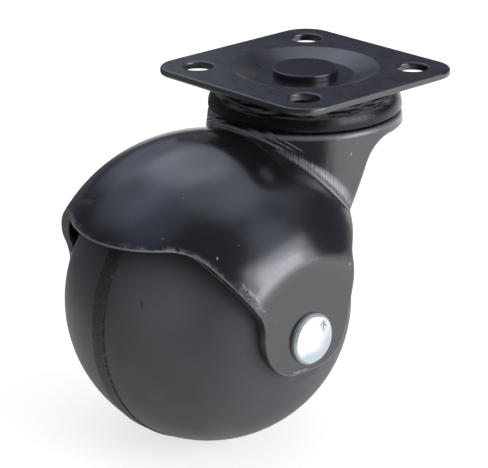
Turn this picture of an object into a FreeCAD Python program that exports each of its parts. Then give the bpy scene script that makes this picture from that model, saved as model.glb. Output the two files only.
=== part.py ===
"""A ball castor: a 50 mm moulded ball under a deep-drawn hood that swivels on a square screw plate.

Frame: Z is the swivel axis and points up. The origin is the centre of the plate's top face, which goes
against the furniture. The axle lies along Y, and the ball trails behind the swivel towards -X.
All lengths are millimetres.
"""

import FreeCAD
import Part
import math
import os

import Sketcher

DRIVING_SIZES = {
    # the ball, and how far it trails behind the swivel axis
    "ball_width": 50,
    "trail": 23.3,
    # the screw plate, pressed from sheet with a round dish in its middle
    "plate_sheet": 1.3,
    "plate_corner": 5.4,
    "hole_spacing": 26.5,
    "hole_margin": 6.25,
    "screw_hole": 5.4,
    "hole_roll": 0.45,
    "dish_width": 26,
    "dish_floor": 17.2,
    "dish_depth": 1.4,
    # the kingpin, a flat-headed rivet closed under the lower race
    "kingpin_head": 11.7,
    "kingpin_head_recess": 0.1,
    "kingpin_shank": 6,
    "kingpin_tail": 9,
    "kingpin_tail_height": 1.5,
    # the two rows of bearing balls and the cups that hold them
    "bearing_ball": 3.5,
    "upper_pitch": 25.2,
    "lower_pitch": 16,
    "row_gap": 0.45,
    "cup_sheet": 1.1,
    "cup_room": 1.75,
    "upper_cup_straight": 0.6,
    "upper_cup_taper": 0.2,
    "lower_cup_sheet": 1.2,
    "lower_cup_rim": 2.8,
    "race_bite": 0.2,
    "race_play": 0.05,
    # the hood, drawn in one piece with the neck and both legs
    "hood_sheet": 1.6,
    "dome_gap": 3,
    "dome_step": 0.2,
    "dome_offset": 1.5,
    "dome_shift": 0.3,
    "cheek_inset": 4.2,
    "cheek_round": 8,
    "neck_margin": 2.65,
    "neck_flare": 3,
    "neck_above_axle": 4,
    "shoulder_round": 1,
    "crease_round": 1.2,
    # its trimming line: lip over the ball, front and foot of each leg, rear elbow and throat
    "lip_lift": 17.4,
    "lip_dip": 2.2,
    "lip_end": 17.8,
    "lip_round": 4,
    "leg_front": 10.1,
    "leg_front_lift": 5,
    "leg_front_round": 8,
    "foot_rear": 7.2,
    "foot_drop": 5.8,
    "foot_centre_lift": 1.6,
    "elbow_rear": 11.2,
    "elbow_lift": 12.3,
    "elbow_round": 3,
    "waist_past": 6,
    "waist_rise": 4.3,
    "waist_round": 4,
    "throat_inset": 0.3,
    "throat_round": 7,
    "crown_rim": 0.4,
    "trim_margin": 1,
    # the axle rivet, its spacer tube and the ball's hub
    "axle_shank": 5,
    "axle_head": 8.8,
    "axle_head_height": 1,
    "axle_head_bevel": 0.4,
    "axle_head_crown": 0.25,
    "sleeve_wall": 1,
    "ball_inset": 0.15,
    "hub_round": 1,
    "band_width": 2.9,
    "hub_gap": 0.4,
    # clearances where one piece turns on another
    "running_play": 0.05,
    "swivel_play": 0.1,
    "skirt_gap": 0.3,
}

DERIVED_SIZES = {
    "plate_side": "hole_spacing + 2 * hole_margin",
    "dish_under": "dish_depth + plate_sheet",
    "kingpin_head_height": "dish_depth - kingpin_head_recess",
    "groove_width": "bearing_ball + 2 * race_play",
    "crown_drop": "dish_under + cup_sheet + groove_width - race_bite",
    "crown_under": "crown_drop + hood_sheet",
    "upper_cup_skirt": "crown_drop - skirt_gap",
    "upper_cup_round": "upper_cup_skirt - dish_under - upper_cup_straight",
    "upper_ball_drop": "dish_under + cup_sheet + groove_width / 2",
    "lower_ball_drop": "crown_under - race_bite + groove_width / 2",
    "lower_cup_floor": "lower_ball_drop + groove_width / 2 - race_bite",
    "lower_cup_under": "lower_cup_floor + lower_cup_sheet",
    "kingpin_end": "lower_cup_under + kingpin_tail_height",
    "upper_count": "floor(pi * upper_pitch / (bearing_ball + row_gap))",
    "lower_count": "floor(pi * lower_pitch / (bearing_ball + row_gap))",
    "upper_cup_width": "upper_pitch + bearing_ball + 2 * (cup_room + cup_sheet)",
    "lower_cup_width": "lower_pitch + 2 * lower_cup_rim",
    "neck_width": "upper_pitch + bearing_ball + 2 * neck_margin",
    "hood_width": "ball_width + 2 * (dome_gap + hood_sheet)",
    "dome_round": "hood_width / 2 - dome_offset",
    "leg_span": "hood_width - 2 * cheek_inset",
    "leg_inside": "leg_span / 2 - hood_sheet",
    "axle_drop": "crown_drop + dome_step + hood_width / 2",
    "neck_foot": "axle_drop - neck_above_axle",
    "foot_round": "foot_drop + foot_centre_lift",
    "sleeve_width": "axle_shank + 2 * sleeve_wall",
    "throat_rear": "trail - throat_inset",
    "ball_radius": "ball_width / 2 - ball_inset",
    "ball_flat": "leg_inside - hub_gap",
}

doc = FreeCAD.newDocument("ball_castor")
sheet = doc.addObject("Spreadsheet::Sheet", "Sizes")


def fill_sheet():
    """Writes every size with its name beside it; a derived one is a formula of the others."""
    for row, (name, value) in enumerate(DRIVING_SIZES.items(), start=1):
        sheet.set(f"A{row}", name)
        sheet.set(f"B{row}", str(value))
        sheet.setAlias(f"B{row}", name)
    doc.recompute()
    for row, (name, formula) in enumerate(DERIVED_SIZES.items(), start=len(DRIVING_SIZES) + 1):
        sheet.set(f"A{row}", name)
        sheet.set(f"B{row}", f"={formula}")
        sheet.setAlias(f"B{row}", name)
        doc.recompute()


def formula(text):
    """Prefixes each size's name in a formula with the sheet's, so that an object can use it."""
    words = []
    word = ""
    for letter in text + " ":
        if letter.isalnum() or letter == "_":
            word += letter
            continue
        known = word in DRIVING_SIZES or word in DERIVED_SIZES
        words.append("Sizes." + word if known else word)
        words.append(letter)
        word = ""
    return "".join(words).strip()


def size(text):
    """The present value of a formula of sizes."""
    return float(sheet.evalExpression(formula(text)))


def new_body(name):
    body = doc.addObject("PartDesign::Body", name)
    body.Label = name
    return body


def new_sketch(body, name, role, offset=("0", "0", "0")):
    """A sketch on one of the body's own planes, shifted in the plane and off it by formulas."""
    sketch = body.newObject("Sketcher::SketchObject", name)
    plane = [p for p in body.Origin.OriginFeatures if p.Role == role][0]
    sketch.AttachmentSupport = [(plane, "")]
    sketch.MapMode = "FlatFace"
    for axis, text in zip("xyz", offset):
        if text != "0":
            sketch.setExpression(f"AttachmentOffset.Base.{axis}", formula(text))
    return sketch


def pin(sketch, name, kind, *where, value):
    """Adds a dimension and ties it to a formula."""
    index = sketch.addConstraint(Sketcher.Constraint(kind, *where, size(value)))
    sketch.renameConstraint(index, name)
    sketch.setExpression(f"Constraints.{name}", formula(value))


def pin_point(sketch, name, geometry, end, across, up):
    """Holds a point at two formulas from the sketch's origin."""
    for kind, text, axis in (("DistanceX", across, -2), ("DistanceY", up, -1)):
        if text == "0":
            sketch.addConstraint(Sketcher.Constraint("PointOnObject", geometry, end, axis))
        else:
            pin(sketch, f"{name}_{kind[-1].lower()}", kind, -1, 1, geometry, end, value=text)


def outline(sketch, corners):
    """A closed outline through corners (across, up) or, with a rounding, (across, up, radius)."""
    spots = [FreeCAD.Vector(size(c[0]), size(c[1]), 0) for c in corners]
    count = len(corners)
    leave = []
    enter = []
    for i, corner in enumerate(corners):
        radius = size(corner[2]) if len(corner) > 2 else 0
        back = (spots[i - 1] - spots[i]).normalize()
        ahead = (spots[(i + 1) % count] - spots[i]).normalize()
        reach = radius / math.tan(back.getAngle(ahead) / 2)
        enter.append(spots[i] + back * reach)
        leave.append(spots[i] + ahead * reach)
    lines = []
    for i in range(count):
        side = Part.LineSegment(leave[i], enter[(i + 1) % count])
        lines.append(sketch.addGeometry(side, False))
    for i, corner in enumerate(corners):
        before, after, name = lines[i - 1], lines[i], f"corner{i + 1}"
        if len(corner) == 2:
            sketch.addConstraint(Sketcher.Constraint("Coincident", before, 2, after, 1))
            pin_point(sketch, name, after, 1, corner[0], corner[1])
            continue
        radius = size(corner[2])
        middle = (enter[i] + leave[i]) * 0.5 - spots[i]
        swing = middle.Length
        half = (enter[i] - leave[i]).Length / 2
        centre = spots[i] + middle * ((radius**2 + (enter[i] - spots[i]).Length ** 2) ** 0.5 / swing)
        nearest = centre + (spots[i] - centre).normalize() * radius
        arc = sketch.addGeometry(Part.Arc(enter[i], nearest, leave[i]), False)
        turns_left = (spots[i] - enter[i]).cross(leave[i] - spots[i]).z > 0
        first, last = (1, 2) if turns_left else (2, 1)
        sketch.addConstraint(Sketcher.Constraint("Tangent", before, 2, arc, first))
        sketch.addConstraint(Sketcher.Constraint("Tangent", arc, last, after, 1))
        tip = sketch.addGeometry(Part.Point(spots[i]), True)
        pin_point(sketch, name, tip, 1, corner[0], corner[1])
        sketch.addConstraint(Sketcher.Constraint("PointOnObject", tip, 1, before))
        sketch.addConstraint(Sketcher.Constraint("PointOnObject", tip, 1, after))
        pin(sketch, f"{name}_radius", "Radius", arc, value=corner[2])


def cut_ball_section(sketch, radius, half_width, offset="0", bore="0"):
    """Half the section of a ball or barrel with two flat sides, to be turned about the upright axis.

    The arc's centre lies at the offset from that axis.
    """
    r, w, c, b = size(radius), size(half_width), size(offset), size(bore)
    rim = c + math.sqrt(r * r - w * w)
    low, high = FreeCAD.Vector(rim, -w, 0), FreeCAD.Vector(rim, w, 0)
    arc = sketch.addGeometry(Part.Arc(low, FreeCAD.Vector(c + r, 0, 0), high), False)
    top = sketch.addGeometry(Part.LineSegment(high, FreeCAD.Vector(b, w, 0)), False)
    inner = sketch.addGeometry(Part.LineSegment(FreeCAD.Vector(b, w, 0), FreeCAD.Vector(b, -w, 0)), False)
    bottom = sketch.addGeometry(Part.LineSegment(FreeCAD.Vector(b, -w, 0), low), False)
    for first, end, second, start in ((top, 2, inner, 1), (inner, 2, bottom, 1), (arc, 2, top, 1), (bottom, 2, arc, 1)):
        sketch.addConstraint(Sketcher.Constraint("Coincident", first, end, second, start))
    pin_point(sketch, "arc_centre", arc, 3, offset, "0")
    pin(sketch, "arc_radius", "Radius", arc, value=radius)
    pin_point(sketch, "upper_end", inner, 1, bore, half_width)
    pin_point(sketch, "lower_end", inner, 2, bore, f"-({half_width})")
    sketch.addConstraint(Sketcher.Constraint("Horizontal", top))
    sketch.addConstraint(Sketcher.Constraint("Horizontal", bottom))


def circle(sketch, name, across, up, diameter):
    spot = FreeCAD.Vector(size(across), size(up), 0)
    ring = sketch.addGeometry(Part.Circle(spot, FreeCAD.Vector(0, 0, 1), size(diameter) / 2), False)
    pin_point(sketch, name, ring, 3, across, up)
    pin(sketch, f"{name}_width", "Diameter", ring, value=diameter)


def turned(body, name, sketch, removes=False):
    """Turns a sketch once round its upright axis, adding material or taking it away."""
    kind = "PartDesign::Groove" if removes else "PartDesign::Revolution"
    feature = body.newObject(kind, name)
    feature.Profile = sketch
    feature.ReferenceAxis = (sketch, ["V_Axis"])
    feature.Angle = 360
    doc.recompute()
    return feature


def cut_through(body, name, sketch):
    """Cuts a sketch's area out of the body, both ways from the sketch."""
    feature = body.newObject("PartDesign::Pocket", name)
    feature.Profile = sketch
    feature.Type = "ThroughAll"
    feature.SideType = "Symmetric"
    doc.recompute()
    return feature


def edges_where(feature, test):
    return [f"Edge{i}" for i, edge in enumerate(feature.Shape.Edges, start=1) if test(edge)]


def rounded(body, name, base, test, radius, kind="PartDesign::Fillet"):
    """Rounds or chamfers the edges that pass a test."""
    feature = body.newObject(kind, name)
    feature.Base = (base, edges_where(base, test))
    target = "Radius" if kind == "PartDesign::Fillet" else "Size"
    feature.setExpression(target, formula(radius))
    doc.recompute()
    return feature


def is_circle(edge, radius, centre=None):
    """True for a round edge of this radius and, where one is given, this centre."""
    curve = edge.Curve
    if not isinstance(curve, Part.Circle) or abs(curve.Radius - radius) > 0.01:
        return False
    return centre is None or curve.Center.distanceToPoint(centre) < 0.01


def build_plate():
    """The screw plate: a rounded square of sheet, dished in the middle, with four screw holes whose rims are rolled in."""
    body = new_body("top_plate")
    square = new_sketch(body, "plate_outline", "XY_Plane")
    half = "plate_side / 2"
    outline(
        square,
        [
            (half, half, "plate_corner"),
            (f"-{half}", half, "plate_corner"),
            (f"-{half}", f"-{half}", "plate_corner"),
            (half, f"-{half}", "plate_corner"),
        ],
    )
    slab = body.newObject("PartDesign::Pad", "plate_slab")
    slab.Profile = square
    slab.Reversed = True
    slab.setExpression("Length", formula("plate_sheet"))
    doc.recompute()

    under = new_sketch(body, "dish_under_section", "XZ_Plane")
    outline(
        under,
        [
            ("0", "-plate_sheet / 2"),
            ("dish_width / 2", "-plate_sheet / 2"),
            ("dish_width / 2", "-plate_sheet"),
            ("dish_floor / 2", "-dish_under"),
            ("0", "-dish_under"),
        ],
    )
    turned(body, "dish_under", under)
    hollow = new_sketch(body, "dish_section", "XZ_Plane")
    outline(
        hollow,
        [
            ("0", "0"),
            ("dish_width / 2", "0"),
            ("dish_floor / 2", "-dish_depth"),
            ("0", "-dish_depth"),
        ],
    )
    dish = turned(body, "dish", hollow, removes=True)
    soft = rounded(body, "dish_rim", dish, lambda e: is_circle(e, size("dish_width / 2")), "plate_sheet")
    floor = rounded(body, "dish_foot", soft, lambda e: is_circle(e, size("dish_floor / 2")), "plate_sheet / 2")

    holes = new_sketch(body, "screw_holes", "XY_Plane")
    for i, (across, up) in enumerate((("", ""), ("-", ""), ("-", "-"), ("", "-")), start=1):
        circle(holes, f"screw{i}", f"{across}hole_spacing / 2", f"{up}hole_spacing / 2", "screw_hole")
    circle(holes, "kingpin", "0", "0", "kingpin_shank")
    drilled = cut_through(body, "holes", holes)

    def on_screw_rim(edge):
        return is_circle(edge, size("screw_hole / 2")) and abs(edge.CenterOfMass.z) < 0.01

    rolled = rounded(body, "hole_rims", drilled, on_screw_rim, "hole_roll")

    def on_rim(edge):
        box = edge.BoundBox
        reach = max(abs(box.XMin), abs(box.XMax), abs(box.YMin), abs(box.YMax))
        return reach > size("plate_side / 2 - plate_corner / 2") and box.ZLength < 0.01

    rounded(body, "plate_edges", rolled, on_rim, "plate_sheet / 3")
    return body


def build_kingpin():
    """The kingpin: its flat head lies in the dish, its tail is closed under the lower race cup."""
    body = new_body("kingpin")
    head_top = "-(dish_depth - kingpin_head_height)"
    section = new_sketch(body, "kingpin_section", "XZ_Plane")
    outline(
        section,
        [
            ("0", head_top),
            ("kingpin_head / 2", head_top, "kingpin_head_height / 4"),
            ("kingpin_head / 2", "-dish_depth"),
            ("kingpin_shank / 2", "-dish_depth"),
            ("kingpin_shank / 2", "-lower_cup_under"),
            ("kingpin_tail / 2", "-lower_cup_under"),
            ("kingpin_tail / 2", "-kingpin_end", "kingpin_tail_height / 2"),
            ("0", "-kingpin_end"),
        ],
    )
    turned(body, "kingpin_turned", section)
    return body


def build_upper_cup():
    """The upper race cup: a pressed cap whose skirt hides the upper row of balls."""
    body = new_body("upper_race_cup")
    section = new_sketch(body, "upper_cup_section", "XZ_Plane")
    outline(
        section,
        [
            ("kingpin_shank / 2", "-dish_under"),
            ("upper_cup_width / 2", "-dish_under", "upper_cup_round"),
            ("upper_cup_width / 2 - upper_cup_taper", "-upper_cup_skirt", "cup_sheet / 3"),
            ("upper_cup_width / 2 - upper_cup_taper - cup_sheet", "-upper_cup_skirt"),
            ("upper_cup_width / 2 - cup_sheet", "-dish_under - cup_sheet", "upper_cup_round - cup_sheet"),
            ("kingpin_shank / 2", "-dish_under - cup_sheet"),
        ],
    )
    turned(body, "upper_cup_turned", section)
    return body


def build_lower_cup():
    """The lower race cup: a shallow pressed dish with a groove, held up by the kingpin's tail."""
    body = new_body("lower_race_cup")
    section = new_sketch(body, "lower_cup_section", "XZ_Plane")
    outline(
        section,
        [
            ("kingpin_shank / 2", "-lower_cup_floor"),
            ("lower_cup_width / 2 - lower_cup_sheet", "-lower_cup_floor"),
            ("lower_cup_width / 2 - lower_cup_sheet", "-lower_ball_drop"),
            ("lower_cup_width / 2", "-lower_ball_drop"),
            ("lower_cup_width / 2", "-lower_cup_under", "lower_cup_sheet"),
            ("kingpin_shank / 2", "-lower_cup_under"),
        ],
    )
    turned(body, "lower_cup_turned", section)
    cut_race(body, "lower_cup_race", "lower_pitch / 2", "-lower_ball_drop")
    return body


def cut_race(body, name, pitch_radius, height):
    """A round-bottomed groove that the bearing balls run in."""
    section = new_sketch(body, f"{name}_section", "XZ_Plane")
    circle(section, "race", pitch_radius, height, "groove_width")
    return turned(body, name, section, removes=True)


def build_balls(prefix, count, pitch, drop):
    """One row of bearing balls, each a piece of its own, spread evenly round the swivel axis."""
    balls = []
    for i in range(int(size(count))):
        ball = doc.addObject("Part::Sphere", f"{prefix}_{i + 1:02d}")
        ball.Label = ball.Name
        ball.setExpression("Radius", formula("bearing_ball / 2"))
        turn = formula(f"({i} + 0.5) * 360 / {count} * 1 deg")
        ball.setExpression("Placement.Base.x", formula(f"{pitch} / 2") + f" * cos({turn})")
        ball.setExpression("Placement.Base.y", formula(f"{pitch} / 2") + f" * sin({turn})")
        ball.setExpression("Placement.Base.z", formula(f"-{drop}"))
        balls.append(ball)
    return balls


def build_hood():
    """The hood: crown, neck, dome and both legs, drawn from one sheet.

    The dome is a ball round the axle with flat cheeks that become the legs. The neck stands on it,
    round the swivel axis, and the crease runs where the two meet. What lies outside the trimming
    line, seen from the side, is cut away.
    """
    body = new_body("fork_hood")
    dome_plane = ("dome_shift - trail", "0", "-axle_drop")
    dome_outside = new_sketch(body, "dome_section", "XY_Plane", dome_plane)
    cut_ball_section(dome_outside, "dome_round", "leg_span / 2", "dome_offset")
    dome = turned(body, "dome", dome_outside)

    def cheek_edge(radius, half_width):
        rim = size("dome_offset") + math.sqrt(size(radius) ** 2 - size(half_width) ** 2)
        return lambda e: is_circle(e, rim)

    rounded(body, "cheeks", dome, cheek_edge("dome_round", "leg_span / 2"), "cheek_round")

    neck_outside = new_sketch(body, "neck_section", "XZ_Plane")
    outline(
        neck_outside,
        [
            ("0", "-crown_drop"),
            ("neck_width / 2", "-crown_drop", "shoulder_round"),
            ("neck_width / 2 + neck_flare", "-neck_foot"),
            ("0", "-neck_foot"),
        ],
    )
    neck = turned(body, "neck", neck_outside)

    def on_crease(edge):
        if isinstance(edge.Curve, (Part.Line, Part.Circle)):
            return False
        for spot in edge.discretize(7):
            from_axle = math.hypot(spot.x + size("trail - dome_shift"), spot.z + size("axle_drop"))
            off_dome = math.hypot(from_axle - size("dome_offset"), spot.y) - size("dome_round")
            off_neck = math.hypot(spot.x, spot.y) - size("neck_width / 2")
            if abs(off_dome) > 0.01 or not -size("shoulder_round") < off_neck < size("neck_flare") + 0.01:
                return False
        return True

    rounded(body, "crease", neck, on_crease, "crease_round")

    dome_inside = new_sketch(body, "dome_hollow_section", "XY_Plane", dome_plane)
    cut_ball_section(dome_inside, "dome_round - hood_sheet", "leg_inside", "dome_offset")
    hollow = turned(body, "dome_hollow", dome_inside, removes=True)
    inner_test = cheek_edge("dome_round - hood_sheet", "leg_inside")
    hollow = rounded(body, "inner_cheeks", hollow, inner_test, "cheek_round - hood_sheet")

    neck_inside = new_sketch(body, "neck_hollow_section", "XZ_Plane")
    outline(
        neck_inside,
        [
            ("0", "-crown_under"),
            ("neck_width / 2 - hood_sheet", "-crown_under"),
            ("neck_width / 2 + neck_flare - hood_sheet", "-neck_foot - trim_margin"),
            ("0", "-neck_foot - trim_margin"),
        ],
    )
    turned(body, "neck_hollow", neck_inside, removes=True)

    crown_edge = "axle_drop - crown_under - crown_rim"
    trim = new_sketch(body, "trimming_line", "XZ_Plane", ("-trail", "-axle_drop", "0"))
    outline(
        trim,
        [
            ("-hood_width / 2 - trim_margin", "lip_lift - lip_dip"),
            ("-lip_end", "lip_lift", "lip_round"),
            ("-leg_front", "leg_front_lift", "leg_front_round"),
            ("-leg_front", "-foot_drop", "foot_round"),
            ("foot_rear", "-foot_drop", "foot_round"),
            ("elbow_rear", "elbow_lift", "elbow_round"),
            ("elbow_rear + waist_past", "elbow_lift + waist_rise", "waist_round"),
            ("throat_rear", crown_edge, "throat_round"),
            ("hood_width", crown_edge),
            ("hood_width", "-hood_width"),
            ("-hood_width / 2 - trim_margin", "-hood_width"),
        ],
    )
    cut_through(body, "trimmed", trim)

    kingpin_hole = new_sketch(body, "kingpin_hole", "XY_Plane", ("0", "0", "-crown_drop"))
    circle(kingpin_hole, "kingpin", "0", "0", "kingpin_shank + 2 * swivel_play")
    cut_through(body, "kingpin_bore", kingpin_hole)
    axle_hole = new_sketch(body, "axle_hole", "XZ_Plane", ("-trail", "-axle_drop", "0"))
    circle(axle_hole, "axle", "0", "0", "axle_shank")
    cut_through(body, "axle_bore", axle_hole)
    cut_race(body, "upper_race", "upper_pitch / 2", "-upper_ball_drop")
    cut_race(body, "lower_race", "lower_pitch / 2", "-lower_ball_drop")
    return body


def build_axle():
    """The axle rivet: a bevelled, slightly crowned head on the near leg, the same head closed on the far one."""
    body = new_body("axle_rivet")
    reach = "(leg_span / 2 + axle_head_height)"
    section = new_sketch(body, "axle_section", "XY_Plane", ("-trail", "0", "-axle_drop"))
    outline(
        section,
        [
            ("0", f"-{reach} - axle_head_crown"),
            ("axle_head / 2 - axle_head_bevel", f"-{reach}"),
            ("axle_head / 2", f"-{reach} + axle_head_bevel"),
            ("axle_head / 2", "-leg_span / 2"),
            ("axle_shank / 2", "-leg_span / 2"),
            ("axle_shank / 2", "leg_span / 2"),
            ("axle_head / 2", "leg_span / 2"),
            ("axle_head / 2", f"{reach} - axle_head_bevel"),
            ("axle_head / 2 - axle_head_bevel", reach),
            ("0", f"{reach} + axle_head_crown"),
        ],
    )
    turned(body, "axle_turned", section)
    return body


def build_sleeve():
    """The spacer tube between the legs, which the rivet clamps and the ball turns on."""
    body = new_body("axle_sleeve")
    section = new_sketch(body, "sleeve_section", "XY_Plane", ("-trail", "0", "-axle_drop"))
    outline(
        section,
        [
            ("axle_shank / 2", "-leg_inside"),
            ("sleeve_width / 2", "-leg_inside"),
            ("sleeve_width / 2", "leg_inside"),
            ("axle_shank / 2", "leg_inside"),
        ],
    )
    turned(body, "sleeve_turned", section)
    return body


def build_ball():
    """The moulded ball: flat at both hubs, with a slightly raised tread band round its middle."""
    body = new_body("ball_wheel")
    axle_plane = ("-trail", "0", "-axle_drop")
    bore = "sleeve_width / 2 + running_play"
    section = new_sketch(body, "ball_section", "XY_Plane", axle_plane)
    cut_ball_section(section, "ball_radius", "ball_flat", bore=bore)
    ball = turned(body, "ball", section)
    rim = math.sqrt(size("ball_radius") ** 2 - size("ball_flat") ** 2)
    rounded(body, "hub_edges", ball, lambda e: is_circle(e, rim), "hub_round")
    band = new_sketch(body, "band_section", "XY_Plane", axle_plane)
    outline(
        band,
        [
            ("ball_radius - hub_round", "-band_width / 2"),
            ("ball_width / 2", "-band_width / 2", "ball_inset / 2"),
            ("ball_width / 2", "band_width / 2", "ball_inset / 2"),
            ("ball_radius - hub_round", "band_width / 2"),
        ],
    )
    turned(body, "tread_band", band)
    return body


def check(parts):
    """Stops where anything failed to build or a piece isn't sound."""
    for thing in doc.Objects:
        if "Invalid" in thing.State or "Error" in thing.State:
            raise RuntimeError(f"{thing.Name} failed: {thing.State}")
    for piece in parts:
        shape = piece.Shape
        if shape.isNull() or not shape.isValid() or len(shape.Solids) != 1:
            raise RuntimeError(f"{piece.Label} is not one sound solid")


def main():
    fill_sheet()
    parts = [build_plate(), build_kingpin(), build_upper_cup(), build_lower_cup()]
    parts += build_balls("upper_ball", "upper_count", "upper_pitch", "upper_ball_drop")
    parts += build_balls("lower_ball", "lower_count", "lower_pitch", "lower_ball_drop")
    parts += [build_hood(), build_axle(), build_sleeve(), build_ball()]
    doc.recompute()
    check(parts)
    os.makedirs("parts", exist_ok=True)
    for piece in parts:
        piece.Shape.exportStep(f"parts/{piece.Label}.step")
        print(f"{piece.Label}: {piece.Shape.Volume:.1f} mm3")


main()
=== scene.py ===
# %% [markdown]
# # A ball castor, dressed for its photograph
# A ball castor carries a chair or a cabinet on one moulded ball. A black enamelled hood is drawn from one
# disc of sheet and covers the upper half of the ball, and it swivels under a screw plate on two rows of
# small bearing balls. The solids come from the CAD model, so this file never moves them. It gives each of
# them its finish, adds what is too fine for the solids, and sets up the floor, the lamps and the camera.

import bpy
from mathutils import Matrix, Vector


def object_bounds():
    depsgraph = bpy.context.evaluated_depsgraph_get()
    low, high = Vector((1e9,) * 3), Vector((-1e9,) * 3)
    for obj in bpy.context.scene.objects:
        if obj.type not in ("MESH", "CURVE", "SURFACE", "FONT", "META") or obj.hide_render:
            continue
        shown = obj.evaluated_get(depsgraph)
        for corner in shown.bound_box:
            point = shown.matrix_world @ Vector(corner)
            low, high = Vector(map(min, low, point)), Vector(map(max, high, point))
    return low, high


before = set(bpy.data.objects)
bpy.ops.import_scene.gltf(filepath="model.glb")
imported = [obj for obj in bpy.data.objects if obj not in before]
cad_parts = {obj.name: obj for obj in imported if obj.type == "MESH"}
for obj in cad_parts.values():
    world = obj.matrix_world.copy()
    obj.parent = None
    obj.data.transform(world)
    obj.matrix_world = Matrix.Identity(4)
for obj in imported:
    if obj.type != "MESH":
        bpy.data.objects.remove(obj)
cad_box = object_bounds()
print("CAD box, mm:", [[round(v * 1000, 2) for v in corner] for corner in cad_box])

# %% [markdown]
# ## Small helpers for node work
# A material is a little circuit of nodes. Written out in full, every material here would be mostly the same
# twenty lines. So `put` adds a node and fills in its values, and `plug` gives a socket a wire or a value.

# %% Put a node, plug a socket
import math

import bmesh
import bpy
from mathutils import Matrix, Vector

MM = 0.001


def put(tree, kind, **values):
    node = tree.nodes.new(kind)
    for key, value in values.items():
        if hasattr(node, key):
            setattr(node, key, value)
        else:
            node.inputs[key.replace("_", " ")].default_value = value
    return node


def plug(value, socket):
    if isinstance(value, Signal):
        socket.id_data.links.new(value.socket, socket)
    elif socket.type == "RGBA":
        socket.default_value = (*value, 1)
    else:
        socket.default_value = value


print("put and plug ready")

# %% [markdown]
# Wear and dirt depend on distances from edges and creases, so the materials hold a lot of arithmetic. A Math
# node does one sum, and a formula is hard to read as a chain of ten calls. A `Signal` stands for what runs
# along a wire, and adds the Math nodes itself where a formula is written with it: `a * b + 0.5` makes two.

# %% Sums on wires
class Signal:
    """What a socket gives out. Arithmetic with it adds Math nodes to its own tree."""

    def __init__(self, socket):
        self.socket = socket

    def __add__(self, other):
        return work_out("ADD", self, other)

    def __sub__(self, other):
        return work_out("SUBTRACT", self, other)

    def __rsub__(self, other):
        return work_out("SUBTRACT", other, self)

    def __mul__(self, other):
        return work_out("MULTIPLY", self, other)

    def __truediv__(self, other):
        return work_out("DIVIDE", self, other)

    def __rtruediv__(self, other):
        return work_out("DIVIDE", other, self)

    def __pow__(self, other):
        return work_out("POWER", self, other)

    def __abs__(self):
        return work_out("ABSOLUTE", self)


def put_beside(values, kind, **settings):
    """Puts a node in the tree that the values' wires run in, and plugs them into its first sockets."""
    tree = next(value.socket.id_data for value in values if isinstance(value, Signal))
    node = put(tree, kind, **settings)
    for value, socket in zip(values, node.inputs):
        plug(value, socket)
    return node


def work_out(operation, *values):
    return Signal(put_beside(values, "ShaderNodeMath", operation=operation).outputs[0])


def strongest(*values):
    result = values[0]
    for value in values[1:]:
        result = work_out("MAXIMUM", result, value)
    return result


def clamped(value):
    return Signal(put_beside([value], "ShaderNodeClamp").outputs[0])


print("sums ready")

# %% [markdown]
# A soft mask is made with a smooth ramp between two values. It could come from a Color Ramp too, but a Map
# Range node has its ends as plain numbers, here mostly millimetres on the piece.

# %% Ramps, mixes and noise
def ramp(value, start, end, low=0.0, high=1.0):
    values = (value, start, end, low, high)
    node = put_beside(values, "ShaderNodeMapRange", interpolation_type="SMOOTHSTEP")
    return Signal(node.outputs["Result"])


def mix_colours(share, first, second, blend="MIX"):
    node = put_beside([share], "ShaderNodeMix", data_type="RGBA", blend_type=blend)
    plug(first, node.inputs[6])
    plug(second, node.inputs[7])
    return Signal(node.outputs[2])


def noise(place, scale, detail, roughness=0.5):
    node = put_beside([place], "ShaderNodeTexNoise", Detail=detail, Roughness=roughness)
    plug(scale, node.inputs["Scale"])
    return Signal(node.outputs[0])


print("ramps, mixes and noise ready")

# %% [markdown]
# Most places on the castor are found by a distance: from the swivel axis, from the axle, or along a line.

# %% Distances
def vector_work(operation, *values):
    node = put_beside(values, "ShaderNodeVectorMath", operation=operation)
    return Signal(node.outputs["Value" if operation in ("DOT_PRODUCT", "LENGTH") else "Vector"])


def along(place, direction):
    return vector_work("DOT_PRODUCT", place, direction)


def distance(place, centre, counted=(1, 1, 1)):
    """How far a place lies from a centre. An axis that is counted as 0 adds nothing."""
    away = vector_work("SUBTRACT", place, centre)
    return vector_work("LENGTH", vector_work("MULTIPLY", away, counted))


def axes_of(place):
    return [Signal(socket) for socket in put_beside([place], "ShaderNodeSeparateXYZ").outputs]


def joined(*axes):
    return Signal(put_beside(axes, "ShaderNodeCombineXYZ").outputs[0])


def stretched(place, turn, scale):
    node = put(place.socket.id_data, "ShaderNodeMapping", vector_type="TEXTURE", Scale=scale)
    node.inputs["Rotation"].default_value = [math.radians(a) for a in turn]
    plug(place, node.inputs["Vector"])
    return Signal(node.outputs[0])


print("distances ready")

# %% [markdown]
# ## Shared effects
# Enamel, pressed steel and moulded plastic all gather the same things: a faint unevenness, specks of dust
# and worn edges. Each is a node group that is built once and placed in every material with its own values.
# A group puts out only a mask or a height, and the shader stays in the material. Places and sizes that go
# in are in millimetres.

# %% A maker of node groups
def new_group(name, sizes, result):
    group = bpy.data.node_groups.new(name, "ShaderNodeTree")
    for label, value in {"Place": (0, 0, 0), **sizes}.items():
        kind = "NodeSocketVector" if isinstance(value, tuple) else "NodeSocketFloat"
        socket = group.interface.new_socket(label, in_out="INPUT", socket_type=kind)
        socket.default_value = value
    group.interface.new_socket(result, in_out="OUTPUT", socket_type="NodeSocketFloat")
    given = group.nodes.new("NodeGroupInput").outputs
    wanted = group.nodes.new("NodeGroupOutput").inputs[result]
    print("group:", name)
    return group, [Signal(given[label]) for label in ("Place", *sizes)], wanted


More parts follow.
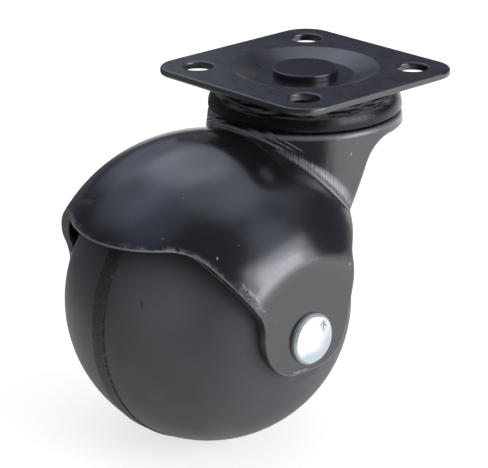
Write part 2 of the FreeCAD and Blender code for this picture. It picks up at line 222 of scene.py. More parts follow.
def use(group, place, **sizes):
    node = put_beside([place], "ShaderNodeGroup", node_tree=group)
    for label, value in sizes.items():
        plug(value, node.inputs[label])
    return Signal(node.outputs[0])


print("group maker ready")

# %% [markdown]
# **Unevenness.** Sprayed or dipped enamel dries with a faint orange peel, and pressed sheet is never quite
# flat. Two sizes of noise are added up. `Cell` is the width of one bump.

# %% Unevenness
unevenness, (place, cell), height = new_group("unevenness", {"Cell": 1.0}, "Height")
cells_per_mm = 1 / cell
broad = noise(place, cells_per_mm * 0.35, 2.0)
fine = noise(place, cells_per_mm, 1.0, 0.4)
plug(broad * 0.75 + fine * 0.25, height)

# %% [markdown]
# **Specks.** Dust, chips and pits are small separate spots. A Voronoi texture has one point in each cell, and
# the distance to it makes a spot. The cell's own random colour picks out which cells have one, and how big it
# is. Where the place is stretched first, the same group makes scratches.

# %% Specks
sizes = {"Spacing": 3.0, "Share": 0.2, "Size": 0.1}
specks, (place, spacing, share, size), mask = new_group("specks", sizes, "Mask")
spots = put_beside([place], "ShaderNodeTexVoronoi", Randomness=1.0)
plug(1 / spacing, spots.inputs["Scale"])
chance = put_beside([Signal(spots.outputs["Color"])], "ShaderNodeSeparateColor")
chosen = work_out("LESS_THAN", Signal(chance.outputs[0]), share)
reach = size / spacing * (Signal(chance.outputs[1]) + 0.4)
inside = (reach - Signal(spots.outputs["Distance"])) / (reach * 0.4)
plug(clamped(inside) * chosen, mask)

# %% [markdown]
# ** Worn edges and edge highlights.** Enamel pulls thin over a sharp edge, so that the edge looks paler. On the
# plate and the hood the same mask also carries painted highlights along edges. The Bevel node gives the
# normal that the surface would have with rounded edges. Where it differs from the real one, there is an edge.
# The Pointiness value could find edges too, but it depends on the mesh and misses long flat facets.

# %% Worn edges and edge highlights
sizes = {"Width": 0.3, "Patchiness": 1.0}
edge_wear_and_highlight, (place, width, patchiness), mask = new_group("edge_wear_and_highlight", sizes, "Mask")
eased = put(edge_wear_and_highlight, "ShaderNodeBevel", samples=6)
plug(width * MM, eased.inputs["Radius"])
own_normal = put(edge_wear_and_highlight, "ShaderNodeNewGeometry").outputs["Normal"]
likeness = along(Signal(eased.outputs[0]), Signal(own_normal))
kept = ramp(noise(place, 0.9, 2.0), 0.3, 0.55)
plug(ramp(likeness, 0.995, 0.88) * ((kept - 1.0) * patchiness + 1.0), mask)

# %% [markdown]
# **Ticks.** A few marks on the real castor can be told apart: a chip on the hood, a scratch on the rivet's
# head, a nick in the ball. Each is a short straight line at a known place. They could be painted on an image,
# but a line needs no unwrapping. The group measures how far a point is from the line, so that the mark has a
# place, a length and a width of its own, and tapers to its ends.

# %% Ticks
sizes = {"Length": 1.0, "Width": 0.15, "Centre": (0, 0, 0), "Along": (0, 0, 1)}
tick, (place, length, width, centre, direction), mask = new_group("tick", sizes, "Mask")
away = vector_work("SUBTRACT", place, centre)
down_line = along(away, direction)
off_line = work_out("SQRT", strongest(vector_work("LENGTH", away) ** 2 - down_line ** 2, 0.0))
half_width = width * 0.5
to_end = abs(down_line) / (length * 0.5)
taper = clamped(1.0 - to_end ** 2)
plug(clamped((half_width * taper - off_line) / (half_width * 0.5)), mask)


def put_ticks(place, marks):
    """The strongest of several ticks, each given as (centre, along, length, width)."""
    found = []
    for centre, direction, length, width in marks:
        unit = Vector(direction).normalized()
        found.append(use(tick, place, Centre=centre, Along=unit, Length=length, Width=width))
    return strongest(*found)


# %% [markdown]
# ## Starting a material
# Every finish here starts the same way: a Principled shader, and the place on the piece in its own
# coordinates, which are those of the CAD frame, in millimetres. They ride with the piece, so that a mark
# stays where it is when the castor swivels.

# %% Start a material
def new_finish(name, **values):
    finish = bpy.data.materials.new(name)
    finish.use_nodes = True
    tree = finish.node_tree
    tree.nodes.clear()
    shader = put(tree, "ShaderNodeBsdfPrincipled", **values)
    plug(Signal(shader.outputs[0]), put(tree, "ShaderNodeOutputMaterial").inputs[0])
    metres = Signal(put(tree, "ShaderNodeTexCoord").outputs["Object"])
    return finish, shader, vector_work("MULTIPLY", metres, (1 / MM, 1 / MM, 1 / MM))


def give(shader, **values):
    for label, value in values.items():
        plug(value, shader.inputs[label.replace("_", " ")])


def raise_surface(shader, height, eased=None):
    """Bumps the surface by a height in mm, over edges that are eased to a radius in mm."""
    bump = put(shader.id_data, "ShaderNodeBump", Strength=1.0, Distance=1.0)
    plug(height * MM, bump.inputs["Height"])
    if eased:
        rounded = put(shader.id_data, "ShaderNodeBevel", samples=6, Radius=eased * MM)
        plug(Signal(rounded.outputs[0]), bump.inputs["Normal"])
    give(shader, Normal=Signal(bump.outputs[0]))


def coat_nodes(finish, *names):
    for name in names:
        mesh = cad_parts[name].data
        mesh.materials.clear()
        mesh.materials.append(finish)
    print(f"{finish.name} on {len(names)} piece(s)")


print("material helpers ready")

# %% [markdown]
# ## Black enamel on the plate
# The screw plate is dipped and stoved. The enamel is nearly black with a touch of blue, half glossy, and
# faintly uneven. Its colour is almost all reflection: the paint itself gives back about one hundredth of the
# light. Dust lies on it, since the plate faces up, and towards the picture's left the enamel is painted paler
# as painted light. A grunge image could give the dust, but specks and a soft ramp keep it sharp at any size.
# The upper rim gets a pale line, partly worn enamel and partly a painted highlight along the top edge.

# %% Plate enamel
PICTURE_RIGHT = Vector((0.732, -0.681, 0))
# The second colour is painted light for the enamel towards the picture's left, and the third a pale rim line,
# partly wear and partly a painted highlight.
PLATE_BLACK, PLATE_PAINTED_LIGHT = (0.007, 0.0075, 0.011), (0.056, 0.060, 0.066)
PLATE_RIM_HIGHLIGHT, PLATE_DUST = (0.3, 0.305, 0.32), (0.22, 0.22, 0.24)

plate_enamel, shader, place = new_finish("plate_enamel", Roughness=0.3, IOR=2.0)
dust = use(specks, place, Spacing=1.3, Share=0.3, Size=0.1)
fluff_place = stretched(place, (0, 0, 25), (0.3, 3.0, 1.0))
fluff = use(specks, fluff_place, Spacing=2.4, Share=0.05, Size=0.12)
# Painted highlight: the pale edge line is kept to the top of the rim, broken up like wear.
top_edge_highlight = ramp(axes_of(place)[2], -1.2, -0.5)
edges = use(edge_wear_and_highlight, place, Width=0.45, Patchiness=0.5) * top_edge_highlight
# Painted light: the enamel is made paler towards the picture's left.
painted_light_left = mix_colours(ramp(along(place, -PICTURE_RIGHT), 4, 26), PLATE_BLACK, PLATE_PAINTED_LIGHT)
bare = mix_colours(edges, painted_light_left, PLATE_RIM_HIGHLIGHT)
ripple = use(unevenness, place, Cell=1.6)
give(
    shader,
    Base_Color=mix_colours(strongest(dust, fluff) * 0.22, bare, PLATE_DUST),
    Roughness=ramp(ripple, 0.3, 0.7, 0.24, 0.36),
)
raise_surface(shader, ripple * 0.025, eased=0.25)
coat_nodes(plate_enamel, "top_plate")

# %% [markdown]
# ## Black enamel on the kingpin
# The kingpin's head has been struck, so that it is smoother than the plate and its rim is polished. It could
# share the plate's material, but its own values are what sets the head off from the dish in the photograph.

# %% Kingpin enamel
PIN_BLACK, PIN_RIM, PIN_DUST = (0.008, 0.0085, 0.012), (0.1, 0.102, 0.11), (0.2, 0.2, 0.22)

pin_enamel, shader, place = new_finish("pin_enamel", Roughness=0.22, IOR=1.8)
dust = use(specks, place, Spacing=1.2, Share=0.25, Size=0.09)
edges = use(edge_wear_and_highlight, place, Width=0.35, Patchiness=0.6)
bare = mix_colours(edges, PIN_BLACK, PIN_RIM)
give(shader, Base_Color=mix_colours(dust * 0.2, bare, PIN_DUST))
raise_surface(shader, use(unevenness, place, Cell=2.2) * 0.03, eased=0.3)
coat_nodes(pin_enamel, "kingpin")

# %% [markdown]
# ## Black enamel on the drawn hood
# The hood is the same enamel on a deeper pressing. The draw has stretched the sheet smooth over the dome,
# and gathered it where the neck runs into the dome: there the photograph shows a flare that catches the
# light, crossed by fine ridges. It could be sculpted, but a mask from the hood's own form stays exact when
# the mesh changes. One number says how far a point stands off the dome, another how far off the neck, and
# both are nought along the crease. The neck is a cone about the swivel axis. The dome is nearly a sphere: in
# side view its radius is 1.5 mm larger, because its round section is swept about a line close to the axle.

# %% Where the crease runs
SWIVEL, DOME_MIDDLE = (0, 0, 0), (-23, 0, -37)
LEVEL, UPRIGHT = (1, 1, 0), (1, 0, 1)
CROWN_DROP, NECK_RADIUS, NECK_TAPER = 7.2, 17, -0.1163
DOME_RADIUS, DOME_OFFSET = 28.1, 1.5

hood_enamel, shader, place = new_finish("hood_enamel", Roughness=0.2, IOR=1.9)
x, y, z = axes_of(place)
off_neck = distance(place, SWIVEL, LEVEL) - ((z + CROWN_DROP) * NECK_TAPER + NECK_RADIUS)
from_dome_line = distance(place, DOME_MIDDLE, UPRIGHT) - DOME_OFFSET
off_dome = work_out("SQRT", from_dome_line ** 2 + y ** 2) - DOME_RADIUS
on_neck = ramp(off_neck, 1.1, 0.3)
round_neck = work_out("ARCTAN2", y, x) * 17.5
print("neck", NECK_RADIUS, "mm from the swivel, dome", DOME_RADIUS + DOME_OFFSET, "mm from its middle")

# %% [markdown]
# The flare is a rise of about half a millimetre on the neck's side, widest in the middle of the crease. Fine
# ridges run across it. Towards the front the ridges die out, and three thin folds run along the crease
# instead. A groove marks the crease itself, and round the crown's shoulder runs a thin painted highlight.

# %% Flare and ridges
flare_width = ramp(z, -9, -13.5, 0.6, 2.0) - ramp(z, -17, -21)
up_flare = clamped(1.0 - off_dome / flare_width)
flare = up_flare ** 2 * on_neck * flare_width * 0.26
ridges = noise(joined(round_neck * 5.2, off_dome * 0.3), 1.0, 2.0, 0.6)
near_crease = ramp(off_dome, 2.6, 0.6) * ramp(off_neck, 2.2, 0.8)
combed = near_crease * ramp(z, -9.2, -11.2)
groove = ramp(off_neck, 1.3, 0.9) * ramp(off_neck, 0.4, 0.8) * ramp(off_dome, 1.2, 0.6)
print("flare and ridges ready")

# %% Folds and crown line
FOLDS_OFF_DOME, FOLD_WIDTH = (0.6, 1.3, 2.0), 0.28
CROWN_LINE = -7.8

wander = ridges * 0.12 + off_dome
folds = strongest(*[ramp(abs(wander - middle), FOLD_WIDTH, 0.0) for middle in FOLDS_OFF_DOME])
folds = folds * ramp(z, -10.4, -9.2) * on_neck
# Painted highlight: a pale line round the crown's shoulder.
crown_highlight = ramp(abs(z - CROWN_LINE), 0.6, 0.1) * on_neck
print(len(FOLDS_OFF_DOME), "folds ready")

# %% [markdown]
# Where the lip turns down into the leg, the sheet is pulled round a tight corner and the enamel has cracked
# into small wrinkles, whose crests get a painted highlight. They are a noise drawn out along the leg's cut
# edge, which is found by its distance from a slanting plane. The neck shows a faint upright grain, which the
# draw left in the sheet, and the dome the same in rings about the axle.

# %% Wrinkles and grain
LIP_CORNER = (-41.1, 0, -19.6)
OUT_OF_EDGE, DOWN_EDGE = (0.849, 0, 0.527), (0.527, 0, -0.849)

from_corner = vector_work("SUBTRACT", place, LIP_CORNER)
from_edge = along(from_corner, OUT_OF_EDGE)
down_edge = along(from_corner, DOWN_EDGE)
patchy = use(unevenness, place, Cell=0.9)
ragged_edge = (patchy - 0.5) * 4.0 + from_edge
in_corner = ramp(down_edge, 5, 9) * ramp(down_edge, 14.5, 12.5) * ramp(ragged_edge, 1.9, 0.4)
wrinkles = noise(stretched(place, (0, -32, 0), (0.26, 0.5, 0.9)), 1.0, 3.0, 0.65)
neck_grain = noise(stretched(place, (0, 0, 0), (0.9, 0.9, 14)), 1.0, 2.0)
dome_grain = noise(joined(y * 2.6, from_dome_line * 2.6, x * 0.06), 1.0, 1.0)
print("wrinkles and grain ready")

# %% [markdown]
# All of these are heights in millimetres, and one Bump node takes their sum. The flare is the highest. The
# orange peel is a twentieth of a millimetre, and the grain is finer still.

# %% Hood relief
relief = use(unevenness, place, Cell=2.4) * 0.05 + flare
for height, depth in (
    (dome_grain, 0.004),
    (ridges * combed, 0.05),
    (groove, -0.12),
    (folds, 0.14),
    (wrinkles * in_corner, 0.22),
    (neck_grain * on_neck, 0.02),
):
    relief = relief + height * depth
raise_surface(shader, relief, eased=0.4)
print("relief ready")

# %% [markdown]
# The enamel is chipped at eleven places that can be told apart in the photograph, and it carries dust and a
# few hairline scratches. The chips are ticks, because a random speck would never lie in the right place.

# %% Dust and chips
dust = use(specks, place, Spacing=2.2, Share=0.35, Size=0.12)
scratch_place = stretched(place, (20, 0, 10), (0.35, 1.0, 4.0))
scratches = use(specks, scratch_place, Spacing=3.0, Share=0.06, Size=0.12)
chips = put_ticks(place, [
    ((-38.2, -18.9, -20.7), (0.1, 0.2, 1.0), 1.3, 0.3),
    ((-42.9, -10.9, -18.3), (0.6, -0.6, 0.3), 0.7, 0.3),
    ((-30.1, -24.6, -23.4), (0.2, 0.1, 1.0), 0.8, 0.3),
    ((-13.6, -25.0, -26.4), (0.6, 0.0, 0.7), 1.1, 0.5),
    ((-14.6, -24.8, -26.2), (0.1, 0.0, 1.0), 0.9, 0.45),
    ((-31.5, -25.3, -31.8), (0.5, 0.0, 0.8), 1.0, 0.25),
    ((-5.2, -16.6, -11.0), (0.3, 0.0, 1.0), 0.9, 0.3),
    ((-3.2, -16.9, -12.0), (0.9, 0.0, 0.3), 0.8, 0.25),
    ((-26.1, -25.4, -42.3), (1.0, 0.0, 0.02), 2.6, 0.3),
    ((-24.6, -25.4, -42.3), (1.0, 0.0, 0.06), 1.8, 0.26),
    ((-27.0, -25.4, -42.2), (0.6, 0.0, -0.8), 0.9, 0.25),
])
marks = strongest(strongest(dust, scratches) * 0.45, chips * 0.8)
print("dust and chips ready")

# %% [markdown]
# The lip is painted pale along its edge, partly as worn enamel and partly as a painted highlight. Its front
# half gets most, with a broad painted highlight in an uneven line. The front edge of the near leg gets little
# of it, and neither does the far leg's, whose cut face is rough. The edge mask finds them all, so each
# stretch gets its own share of it.

# %% Lip and legs: wear and painted highlights
lip_front = ramp(x, -48, -45) * ramp(x, -36, -40)
near_leg_front = ramp(z, -29.5, -32.5) * ramp(z, -42.0, -40.5) * ramp(x, -26, -28)
far_leg = ramp(y, 8, 15)

# Worn enamel and a painted highlight along the lip's edge.
edges = use(edge_wear_and_highlight, place, Width=0.6, Patchiness=0.35) * (lip_front * 0.6 + 0.6)
# Painted highlight: a broad pale band along the front half of the lip.
lip_highlight = use(edge_wear_and_highlight, place, Width=1.6, Patchiness=1.0) * lip_front
edges = strongest(edges, lip_highlight * ramp(patchy, 0.4, 0.6, 0.1, 0.7))
edges = edges * (1.0 - far_leg * 0.8) * (1.0 - near_leg_front * 0.8)
far_cut = ramp(abs(from_edge), 0.8, 0.3) * ramp(y, 4, 10, 0.0, 0.8)
print("worn lip ready")

# %% [markdown]
# The crests of the ridges, folds and wrinkles, the dashes along the crease, the flare and the line round the
# crown's shoulder are painted highlights in the same pale colour as the worn edges. Each has its own
# strength, and the strongest mask at a point gives the colour there and makes it duller.

# %% Hood enamel
# The second colour is the pale one for worn enamel and for the painted highlights.
HOOD_BLACK, HOOD_PALE_WEAR_AND_HIGHLIGHT, HOOD_DUST = (0.010, 0.0102, 0.0115), (0.36, 0.36, 0.38), (0.4, 0.4, 0.42)

combs = ramp(ridges, 0.42, 0.62) * combed
# Painted highlights: pale dashes along the crease.
dash_highlights = combs * ramp(off_dome, 1.6, 0.4) * ramp(off_neck, 1.7, 0.9)
# Painted highlight: the flare's sheen.
sheen = up_flare * on_neck * (combs * 0.6 + 0.4) * ramp(z, -9.8, -11.8)
# Painted highlights along the folds.
fold_highlights = folds * ramp(ridges, 0.35, 0.6, 0.5, 1.0)
# Painted highlight on the crests of the wrinkles.
crest_highlights = ramp(wrinkles, 0.56, 0.66) * in_corner
# Worn edges together with all the painted highlights of the hood.
wear_and_painted_light = strongest(edges, crest_highlights * 0.5, dash_highlights * 0.45, sheen * 0.85, fold_highlights * 0.6, crown_highlight * 0.4)
bare = mix_colours(wear_and_painted_light, HOOD_BLACK, HOOD_PALE_WEAR_AND_HIGHLIGHT)
dull = ramp(strongest(wear_and_painted_light, marks), 0.0, 0.6, 0.19, 0.4)
give(shader, Base_Color=mix_colours(marks, bare, HOOD_DUST), Roughness=strongest(dull, far_cut))
coat_nodes(hood_enamel, "fork_hood")

# %% [markdown]
# ## Race ring
# The ring under the plate is pressed from sheet and left in its dark mill scale under a film of oil. Pale
# streaks round its upward shoulder are a painted reflection. An anisotropic shader would give a metal's
# turning marks, but these streaks are painted colour, so a noise is laid round the ring instead, long round
# it and short up and down.

# %% Race ring
# The second colour is a painted reflection, laid in streaks on the shoulder.
SCALE_BLACK, PALE_STREAK_REFLECTION, SPOT_DIRT = (0.004, 0.004, 0.0045), (0.2, 0.2, 0.215), (0.16, 0.16, 0.16)

ring_steel, shader, place = new_finish("ring_steel", Roughness=0.3, IOR=1.42)
x, y, z = axes_of(place)
out_from_axis = distance(place, SWIVEL, LEVEL)
streaks = noise(joined(work_out("ARCTAN2", y, x) * 3.0, z * 2.5, out_from_axis * MM), 1.0, 3.0, 0.6)
dirt = use(specks, stretched(place, (0, 0, 0), (1.6, 1.6, 0.5)), Spacing=1.3, Share=0.3, Size=0.18)
blots = use(unevenness, place, Cell=1.1)
on_shoulder = ramp(z, -5.0, -3.6)
# Painted reflection: pale streaks round the upward shoulder.
bare = mix_colours(ramp(streaks, 0.42, 0.62) * on_shoulder, SCALE_BLACK, PALE_STREAK_REFLECTION)
give(
    shader,
    Base_Color=mix_colours(dirt * 0.3, bare, SPOT_DIRT),
    Roughness=ramp(blots, 0.35, 0.65, 0.2, 0.34),
)
raise_surface(shader, (blots + streaks) * 0.04, eased=0.2)
coat_nodes(ring_steel, "upper_race_cup")

# %% [markdown]
# ## Plain steel inside
# The lower cup and the spacer tube are bare steel with the dull grain of the press and the lathe, and a few
# spots of old oil. Hardly anything of them shows, so one material does for both.

# %% Plain steel
DULL_STEEL, BRIGHT_STEEL, OLD_OIL = (0.26, 0.26, 0.27), (0.5, 0.5, 0.5), (0.1, 0.09, 0.08)

inner_steel, shader, place = new_finish("inner_steel", Roughness=0.4, Metallic=1.0)
grain = use(unevenness, stretched(place, (0, 0, 0), (1, 4, 1)), Cell=0.5)
oil = use(specks, place, Spacing=1.8, Share=0.3, Size=0.4)
bare = mix_colours(grain, DULL_STEEL, BRIGHT_STEEL)
give(
    shader,
    Base_Color=mix_colours(oil * 0.4, bare, OLD_OIL),
    Roughness=ramp(grain, 0.3, 0.7, 0.3, 0.5),
)
raise_surface(shader, grain * 0.02, eased=0.15)
coat_nodes(inner_steel, "lower_race_cup", "axle_sleeve")

# %% [markdown]
# ## Bearing balls
# Hardened balls are ground and tumbled bright, and a thin uneven film of grease takes some of the shine off.
# All 32 share one material, and each has its own film because it lies at its own place.

# %% Bearing balls
GREASY, POLISHED = (0.5, 0.49, 0.46), (0.72, 0.72, 0.74)

ball_steel, shader, place = new_finish("ball_steel", Roughness=0.12, Metallic=1.0)
wiped = ramp(use(unevenness, place, Cell=0.9), 0.4, 0.6)
give(shader, Base_Color=mix_colours(wiped, GREASY, POLISHED), Roughness=wiped * -0.22 + 0.3)
bearing_balls = [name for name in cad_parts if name.startswith(("upper_ball", "lower_ball"))]
coat_nodes(ball_steel, *bearing_balls)

# %% [markdown]
# ## Axle rivet
# Bright zinc over steel. The head is bevelled and slightly crowned, and near its upper right edge there is a
# star of dark scratches where a tool has slipped, on a smudge. The star is five ticks, the smudge a wide one.

# %% Star on the rivet
rivet_zinc, shader, place = new_finish("rivet_zinc", Roughness=0.2, Metallic=1.0)
cloud = use(unevenness, place, Cell=1.2)
star = put_ticks(place, [
    ((-21.3, -26.5, -34.8), (0.1, 0.0, 1.0), 2.8, 0.5),
    ((-21.5, -26.5, -34.4), (1.0, 0.0, 0.3), 1.9, 0.36),
    ((-20.9, -26.5, -34.9), (1.0, 0.0, -0.7), 1.6, 0.36),
    ((-21.9, -26.5, -34.8), (0.3, 0.0, 1.0), 1.6, 0.3),
    ((-20.7, -26.5, -34.4), (0.4, 0.0, 0.9), 1.5, 0.3),
])
smudge = put_ticks(place, [((-21.2, -26.5, -35.0), (0.1, 0.0, 1.0), 3.4, 2.0)])
print("star ready")

# %% [markdown]
# A painted shade darkens the right and the lower side of the head, with a cloudy border. The bevel and the
# wall below it were never polished. Zinc that isn't polished looks more like grey paint than like a mirror,
# so there the metal share goes down.

# %% Rivet
# The second colour is a painted shade.
ZINC, SHADED_ZINC = (0.93, 0.95, 0.96), (0.54, 0.61, 0.66)
SCRATCHED, RUBBED_ZINC, DULL_ZINC = (0.16, 0.19, 0.22), (0.45, 0.5, 0.55), (0.5, 0.54, 0.56)
AXLE = (-23.3, 0, -37)

from_middle = vector_work("SUBTRACT", place, AXLE)
# Painted shade on the right and the lower side of the head.
painted_shade_right = ramp(cloud * 1.6 + along(from_middle, (0.8, 0, -0.5)), 1.2, 4.0)
painted_shade_below = ramp(cloud * 1.2 + along(from_middle, (0, 0, -1)), 1.8, 3.6)
rim = ramp(distance(place, AXLE, UPRIGHT), 3.9, 4.2)
scuff_place = stretched(place, (0, 40, 0), (0.4, 1.0, 3.0))
scuffs = use(specks, scuff_place, Spacing=1.0, Share=0.2, Size=0.06)
edges = use(edge_wear_and_highlight, place, Width=0.15, Patchiness=0.3)
# Painted shade laid over the bright zinc.
bare = mix_colours(strongest(painted_shade_right, painted_shade_below), ZINC, SHADED_ZINC)
marked = mix_colours(strongest(star * 0.9, strongest(scuffs, smudge) * 0.3), bare, SCRATCHED)
wear_and_painted_light = mix_colours(edges * 0.35, marked, RUBBED_ZINC)
give(
    shader,
    Base_Color=mix_colours(rim, wear_and_painted_light, DULL_ZINC),
    Metallic=rim * -0.75 + 1.0,
    Roughness=ramp(cloud, 0.35, 0.65, 0.16, 0.3),
)
raise_surface(shader, (star * -0.8 + cloud) * 0.03, eased=0.12)
coat_nodes(rivet_zinc, "axle_rivet")

# %% [markdown]
# ## Moulded ball
# The ball is moulded in dark grey plastic and has a matt, slightly cloudy skin. Its tread band is rough and
# darker, and along both edges of the band the mould has left a ragged line of flash that shows as pale
# crumbs. The band's raised edge is in the solid. Its roughness is too fine for that, so it is a bump, and the
# mask for it is the distance from the ball's middle plane, which is y = 0.

# %% Tread band
ball_plastic, shader, place = new_finish("ball_plastic", Roughness=0.5, IOR=1.56)
ragged = noise(place, 1.6, 3.0, 0.7)
off_middle = (ragged - 0.5) * 1.2 + abs(axes_of(place)[1])
on_band = ramp(off_middle, 1.7, 1.4)
at_flash = ramp(off_middle, 0.9, 1.3) * ramp(off_middle, 2.0, 1.6)
crumbs = ramp(ragged, 0.55, 0.68) * at_flash
print("tread band ready")

# %% [markdown]
# One deep nick and a few shallow ones are in the near half of the ball, with rubbed places beside them.

# %% Nicks and rubs
nicks = put_ticks(place, [
    ((-45.7, -8.4, -29.7), (0.2, 0.35, 1.0), 2.6, 0.6),
    ((-43.3, -12.8, -29.1), (0.3, 0.2, 1.0), 0.8, 0.3),
    ((-42.7, -13.6, -30.0), (0.5, -0.5, 0.6), 0.7, 0.25),
    ((-44.3, 1.0, -23.4), (0.3, 0.6, 0.6), 0.6, 0.3),
    ((-44.3, -4.2, -24.1), (0.2, 0.3, 1.0), 0.7, 0.25),
    ((-36.0, -18.5, -45.0), (0.4, -0.2, 0.8), 0.7, 0.2),
])
rubs = put_ticks(place, [
    ((-43.2, -12.9, -29.2), (0.3, 0.3, 1.0), 0.9, 0.4),
    ((-42.6, -13.7, -30.2), (0.6, -0.5, 0.5), 0.8, 0.35),
    ((-45.5, -7.7, -30.1), (0.2, 0.3, 1.0), 1.4, 0.3),
    ((-43.4, -1.0, -22.9), (0.3, 0.1, 1.0), 1.3, 0.35),
])
print("nicks and rubs ready")

# %% [markdown]
# The skin is painted paler in places, as painted light: a soft painted highlight beside the deep nick, and
# the two sides that stand out most in the picture. Soft ramps over distances give those patches, then come
# the band, its crumbs, the dust and the nicks, each laid over the one before it.

# %% Ball plastic
# The third colour here and the first on the next line are painted light: pale sides and a highlight by the
# nick.
DARK_SKIN, CLOUDY_SKIN, SIDE_LIGHT_SKIN = (0.036, 0.0365, 0.0405), (0.050, 0.0505, 0.057), (0.070, 0.070, 0.076)
NICK_SIDE_HIGHLIGHT, BAND_GREY, CRUMB_GREY = (0.100, 0.101, 0.109), (0.021, 0.021, 0.0235), (0.2, 0.2, 0.21)
BALL_DUST, NICK_BLACK = (0.28, 0.28, 0.29), (0.004, 0.004, 0.005)
BY_THE_NICK = (-44.8, -10.2, -28.3)

dust = use(specks, place, Spacing=1.3, Share=0.3, Size=0.1)
clouds = use(unevenness, place, Cell=7.0)
skin = use(unevenness, place, Cell=0.6)
across = along(place, PICTURE_RIGHT)
colour = mix_colours(ramp(clouds, 0.35, 0.65), DARK_SKIN, CLOUDY_SKIN)
for share, over in (
    # Painted highlight beside the deep nick.
    (ramp(distance(place, BY_THE_NICK), 13, 2), NICK_SIDE_HIGHLIGHT),
    # Painted light on the two sides of the ball in the picture.
    (strongest(ramp(across, -20, -9), ramp(across, -30, -42)), SIDE_LIGHT_SKIN),
    (on_band, BAND_GREY),
    (crumbs * 0.55, CRUMB_GREY),
    (strongest(dust * 0.4, rubs * 0.35), BALL_DUST),
    (nicks, NICK_BLACK),
):
    colour = mix_colours(share, colour, over)
give(shader, Base_Color=colour, Roughness=on_band * 0.1 + ramp(clouds, 0.35, 0.65, 0.6, 0.5))
raise_surface(shader, ragged * on_band * 0.22 + nicks * -0.1 + skin * 0.02)
coat_nodes(ball_plastic, "ball_wheel")

# %% [markdown]
# ## Floor
# The photograph was taken on a sheet of white paper. The sheet here is round and half a metre in radius, so
# that upright pieces mirror it but pieces that look at the horizon don't. A curved studio backdrop would
# mirror in the dome as a hard line, which the photograph doesn't show.

# %% Floor sheet
def towards(azimuth, elevation):
    a, e = math.radians(azimuth), math.radians(elevation)
    return Vector((math.sin(a) * math.cos(e), -math.cos(a) * math.cos(e), math.sin(e)))


FLOOR_LEVEL = cad_box[0].z
FLOOR_MIDDLE = Vector((-0.02, 0, FLOOR_LEVEL))
FLOOR_RADIUS = 0.5

sheet = bmesh.new()
bmesh.ops.create_circle(sheet, cap_ends=True, segments=96, radius=FLOOR_RADIUS)
bmesh.ops.translate(sheet, verts=sheet.verts, vec=FLOOR_MIDDLE)
mesh = bpy.data.meshes.new("floor")
sheet.to_mesh(mesh)
sheet.free()
floor = bpy.data.objects.new("floor", mesh)
bpy.context.scene.collection.objects.link(floor)
print("floor at", round(FLOOR_LEVEL / MM, 2), "mm")

# %% [markdown]
# The paper is lit like the object, with a glow for the camera and for mirrors so that it reads as white and
# still shows the castor's shadow. Towards its rim the glow rises to full white, where the sheet meets the
# white background. Mirrors see the far part of one side dark, as the photographer's side of the table was.

# %% Floor paper
DARK_SIDE = towards(-115, 0)
NEAR_PAPER, FAR_PAPER, UNLIT_PAPER = (0.6, 0.6, 0.6), (0.4, 0.4, 0.4), (0.02, 0.02, 0.02)


def ray_kinds(tree):
    """Two masks: the ray comes from the camera, and it comes from a mirror or through glass."""
    rays = put(tree, "ShaderNodeLightPath").outputs
    shiny = strongest(Signal(rays["Is Glossy Ray"]), Signal(rays["Is Transmission Ray"]))
    return Signal(rays["Is Camera Ray"]), shiny


floor_paper, shader, place = new_finish("floor_paper", Roughness=0.9, IOR=1.3)
from_castor = vector_work("SUBTRACT", place, FLOOR_MIDDLE / MM)
outwards = vector_work("LENGTH", from_castor)
in_camera, shiny = ray_kinds(floor_paper.node_tree)
on_dark_side = ramp(along(from_castor, DARK_SIDE) / outwards, -0.25, -0.05)
unlit = on_dark_side * ramp(outwards, 90, 150, 0.0, 0.92) * shiny
paper = mix_colours(ramp(outwards, 120, 400), NEAR_PAPER, FAR_PAPER)
glow = strongest(in_camera, shiny - unlit) * ramp(outwards, 100, 400, 0.7, 1.0)
give(
    shader,
    Base_Color=mix_colours(unlit, paper, UNLIT_PAPER),
    Emission_Color=(1, 1, 1),
    Emission_Strength=glow,
)
mesh.materials.append(floor_paper)
print("floor staged")

# %% [markdown]
# ## World
# The camera sees white. Shiny pieces see a studio: white paper low down, a dim bluish room above it, and in
# the room a few soft glows, such as the ceiling over the table. An environment image would do the same, but
# a glow can be moved by one number. It is a place in the sky with a soft rim, made from the angle between
# the ray and the middle of the glow.

# %% World
WHITE, DIM_ROOM = (1, 1, 1), (0.08, 0.083, 0.112)

world = bpy.data.worlds.new("studio")
bpy.context.scene.world = world
world.use_nodes = True
tree = world.node_tree
tree.nodes.clear()
backdrop = put(tree, "ShaderNodeBackground")
plug(Signal(backdrop.outputs[0]), put(tree, "ShaderNodeOutputWorld").inputs[0])
ray = Signal(put(tree, "ShaderNodeTexCoord").outputs["Generated"])
low_paper = ramp(axes_of(ray)[2], 0.085, 0.0) * ramp(along(ray, DARK_SIDE), -0.05, -0.25, 0.05, 1.0)
sky = mix_colours(low_paper, DIM_ROOM, WHITE)
for azimuth, elevation, full, faded, colour in (
    (158, 30, 8, 24, (0.33, 0.37, 0.45)),
    (150, 58, 8, 26, (0.79, 0.82, 0.95)),
    (-170, 50, 10, 32, (0.34, 0.38, 0.47)),
    (-125, 60, 6, 30, (0.23, 0.26, 0.37)),
    (80, 80, 6, 30, (0.51, 0.55, 0.66)),
    (42, 56, 10, 32, (0.16, 0.18, 0.23)),
    (22, 40, 6, 22, (0.30, 0.33, 0.44)),
    (84, 46, 4, 20, (0.17, 0.17, 0.20)),
    (121, 13, 3, 13, (0.15, 0.15, 0.16)),
):
    likeness = along(ray, towards(azimuth, elevation))
    share = ramp(likeness, math.cos(math.radians(faded)), math.cos(math.radians(full)))
    sky = mix_colours(share, sky, colour, blend="ADD")
in_camera, shiny = ray_kinds(tree)
plug(mix_colours(shiny, WHITE, sky), backdrop.inputs["Color"])
plug(strongest(in_camera, shiny, 0.4), backdrop.inputs["Strength"])
print("world ready")

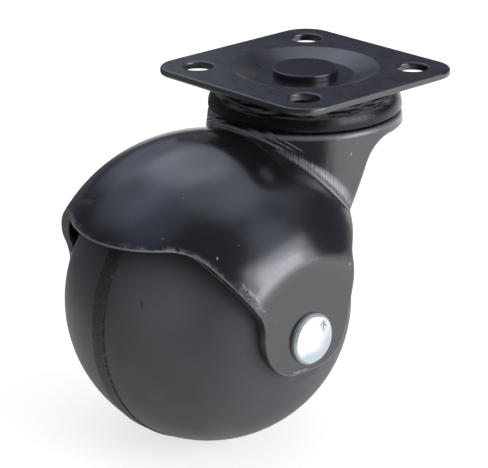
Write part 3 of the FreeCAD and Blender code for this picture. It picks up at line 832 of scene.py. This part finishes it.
# %% [markdown]
# ## Lamps
# One wide soft box stands to the right of the camera with a brighter middle, and its reflection is the bright
# patch on the hood's cheek. A weak one hangs overhead, for the tops of matt pieces alone. `radiance` is how
# bright a box looks in a mirror, where 1 is white paper. A sun or a spot lamp would leave a hard dot there.

# %% Lamps
LAMPS_AIM = Vector((-0.02, 0, -0.03))


def softbox(name, azimuth, elevation, distance, width, height, radiance, tint):
    lamp = bpy.data.lights.new(name, "AREA")
    lamp.shape, lamp.size, lamp.size_y = "RECTANGLE", width, height
    lamp.energy = radiance * math.pi * width * height
    lamp.color = tint
    box = bpy.data.objects.new(name, lamp)
    box.location = LAMPS_AIM + towards(azimuth, elevation) * distance
    box.rotation_mode = "QUATERNION"
    box.rotation_quaternion = towards(azimuth, elevation).to_track_quat("Z", "Y")
    bpy.context.scene.collection.objects.link(box)
    print(f"{name}: {lamp.energy:.2f} W")
    return box


softbox("key_box", 18, 17, 0.80, 0.80, 0.54, 1.8, (0.95, 0.96, 1.05))
softbox("key_middle", 18, 17, 0.79, 0.52, 0.34, 2.9, (0.95, 0.96, 1.05))
softbox("top_box", 120, 80, 1.0, 1.3, 1.3, 0.5, (0.94, 0.97, 1.06)).visible_glossy = False

# %% [markdown]
# ## Camera
# The camera stands where the photographer's did. Its place comes from fitting the model's outline to the
# photograph: 20 degrees above the floor and 43 degrees round to the left of the hood's side.

# %% Camera
CAMERA_PLACE = (-0.28092, -0.28611, 0.11615)
YAW, PITCH, ROLL = 0.8214, -0.3522, -0.0041

lens = bpy.data.cameras.new("camera")
lens.sensor_width, lens.lens = 36, 175.86
lens.clip_start, lens.clip_end = 0.01, 50
camera = bpy.data.objects.new("camera", lens)
forward = Vector((math.cos(YAW) * math.cos(PITCH), math.sin(YAW) * math.cos(PITCH), math.sin(PITCH)))
level_right = forward.cross(Vector((0, 0, 1))).normalized()
level_up = level_right.cross(forward)
right = level_right * math.cos(ROLL) + level_up * math.sin(ROLL)
up = level_up * math.cos(ROLL) - level_right * math.sin(ROLL)
turn = Matrix((right, up, -forward)).transposed().to_4x4()
camera.matrix_world = Matrix.Translation(CAMERA_PLACE) @ turn
bpy.context.scene.collection.objects.link(camera)
bpy.context.scene.camera = camera
bpy.context.scene.view_settings.view_transform = "Standard"
print("camera at", [round(v, 3) for v in camera.matrix_world.translation])
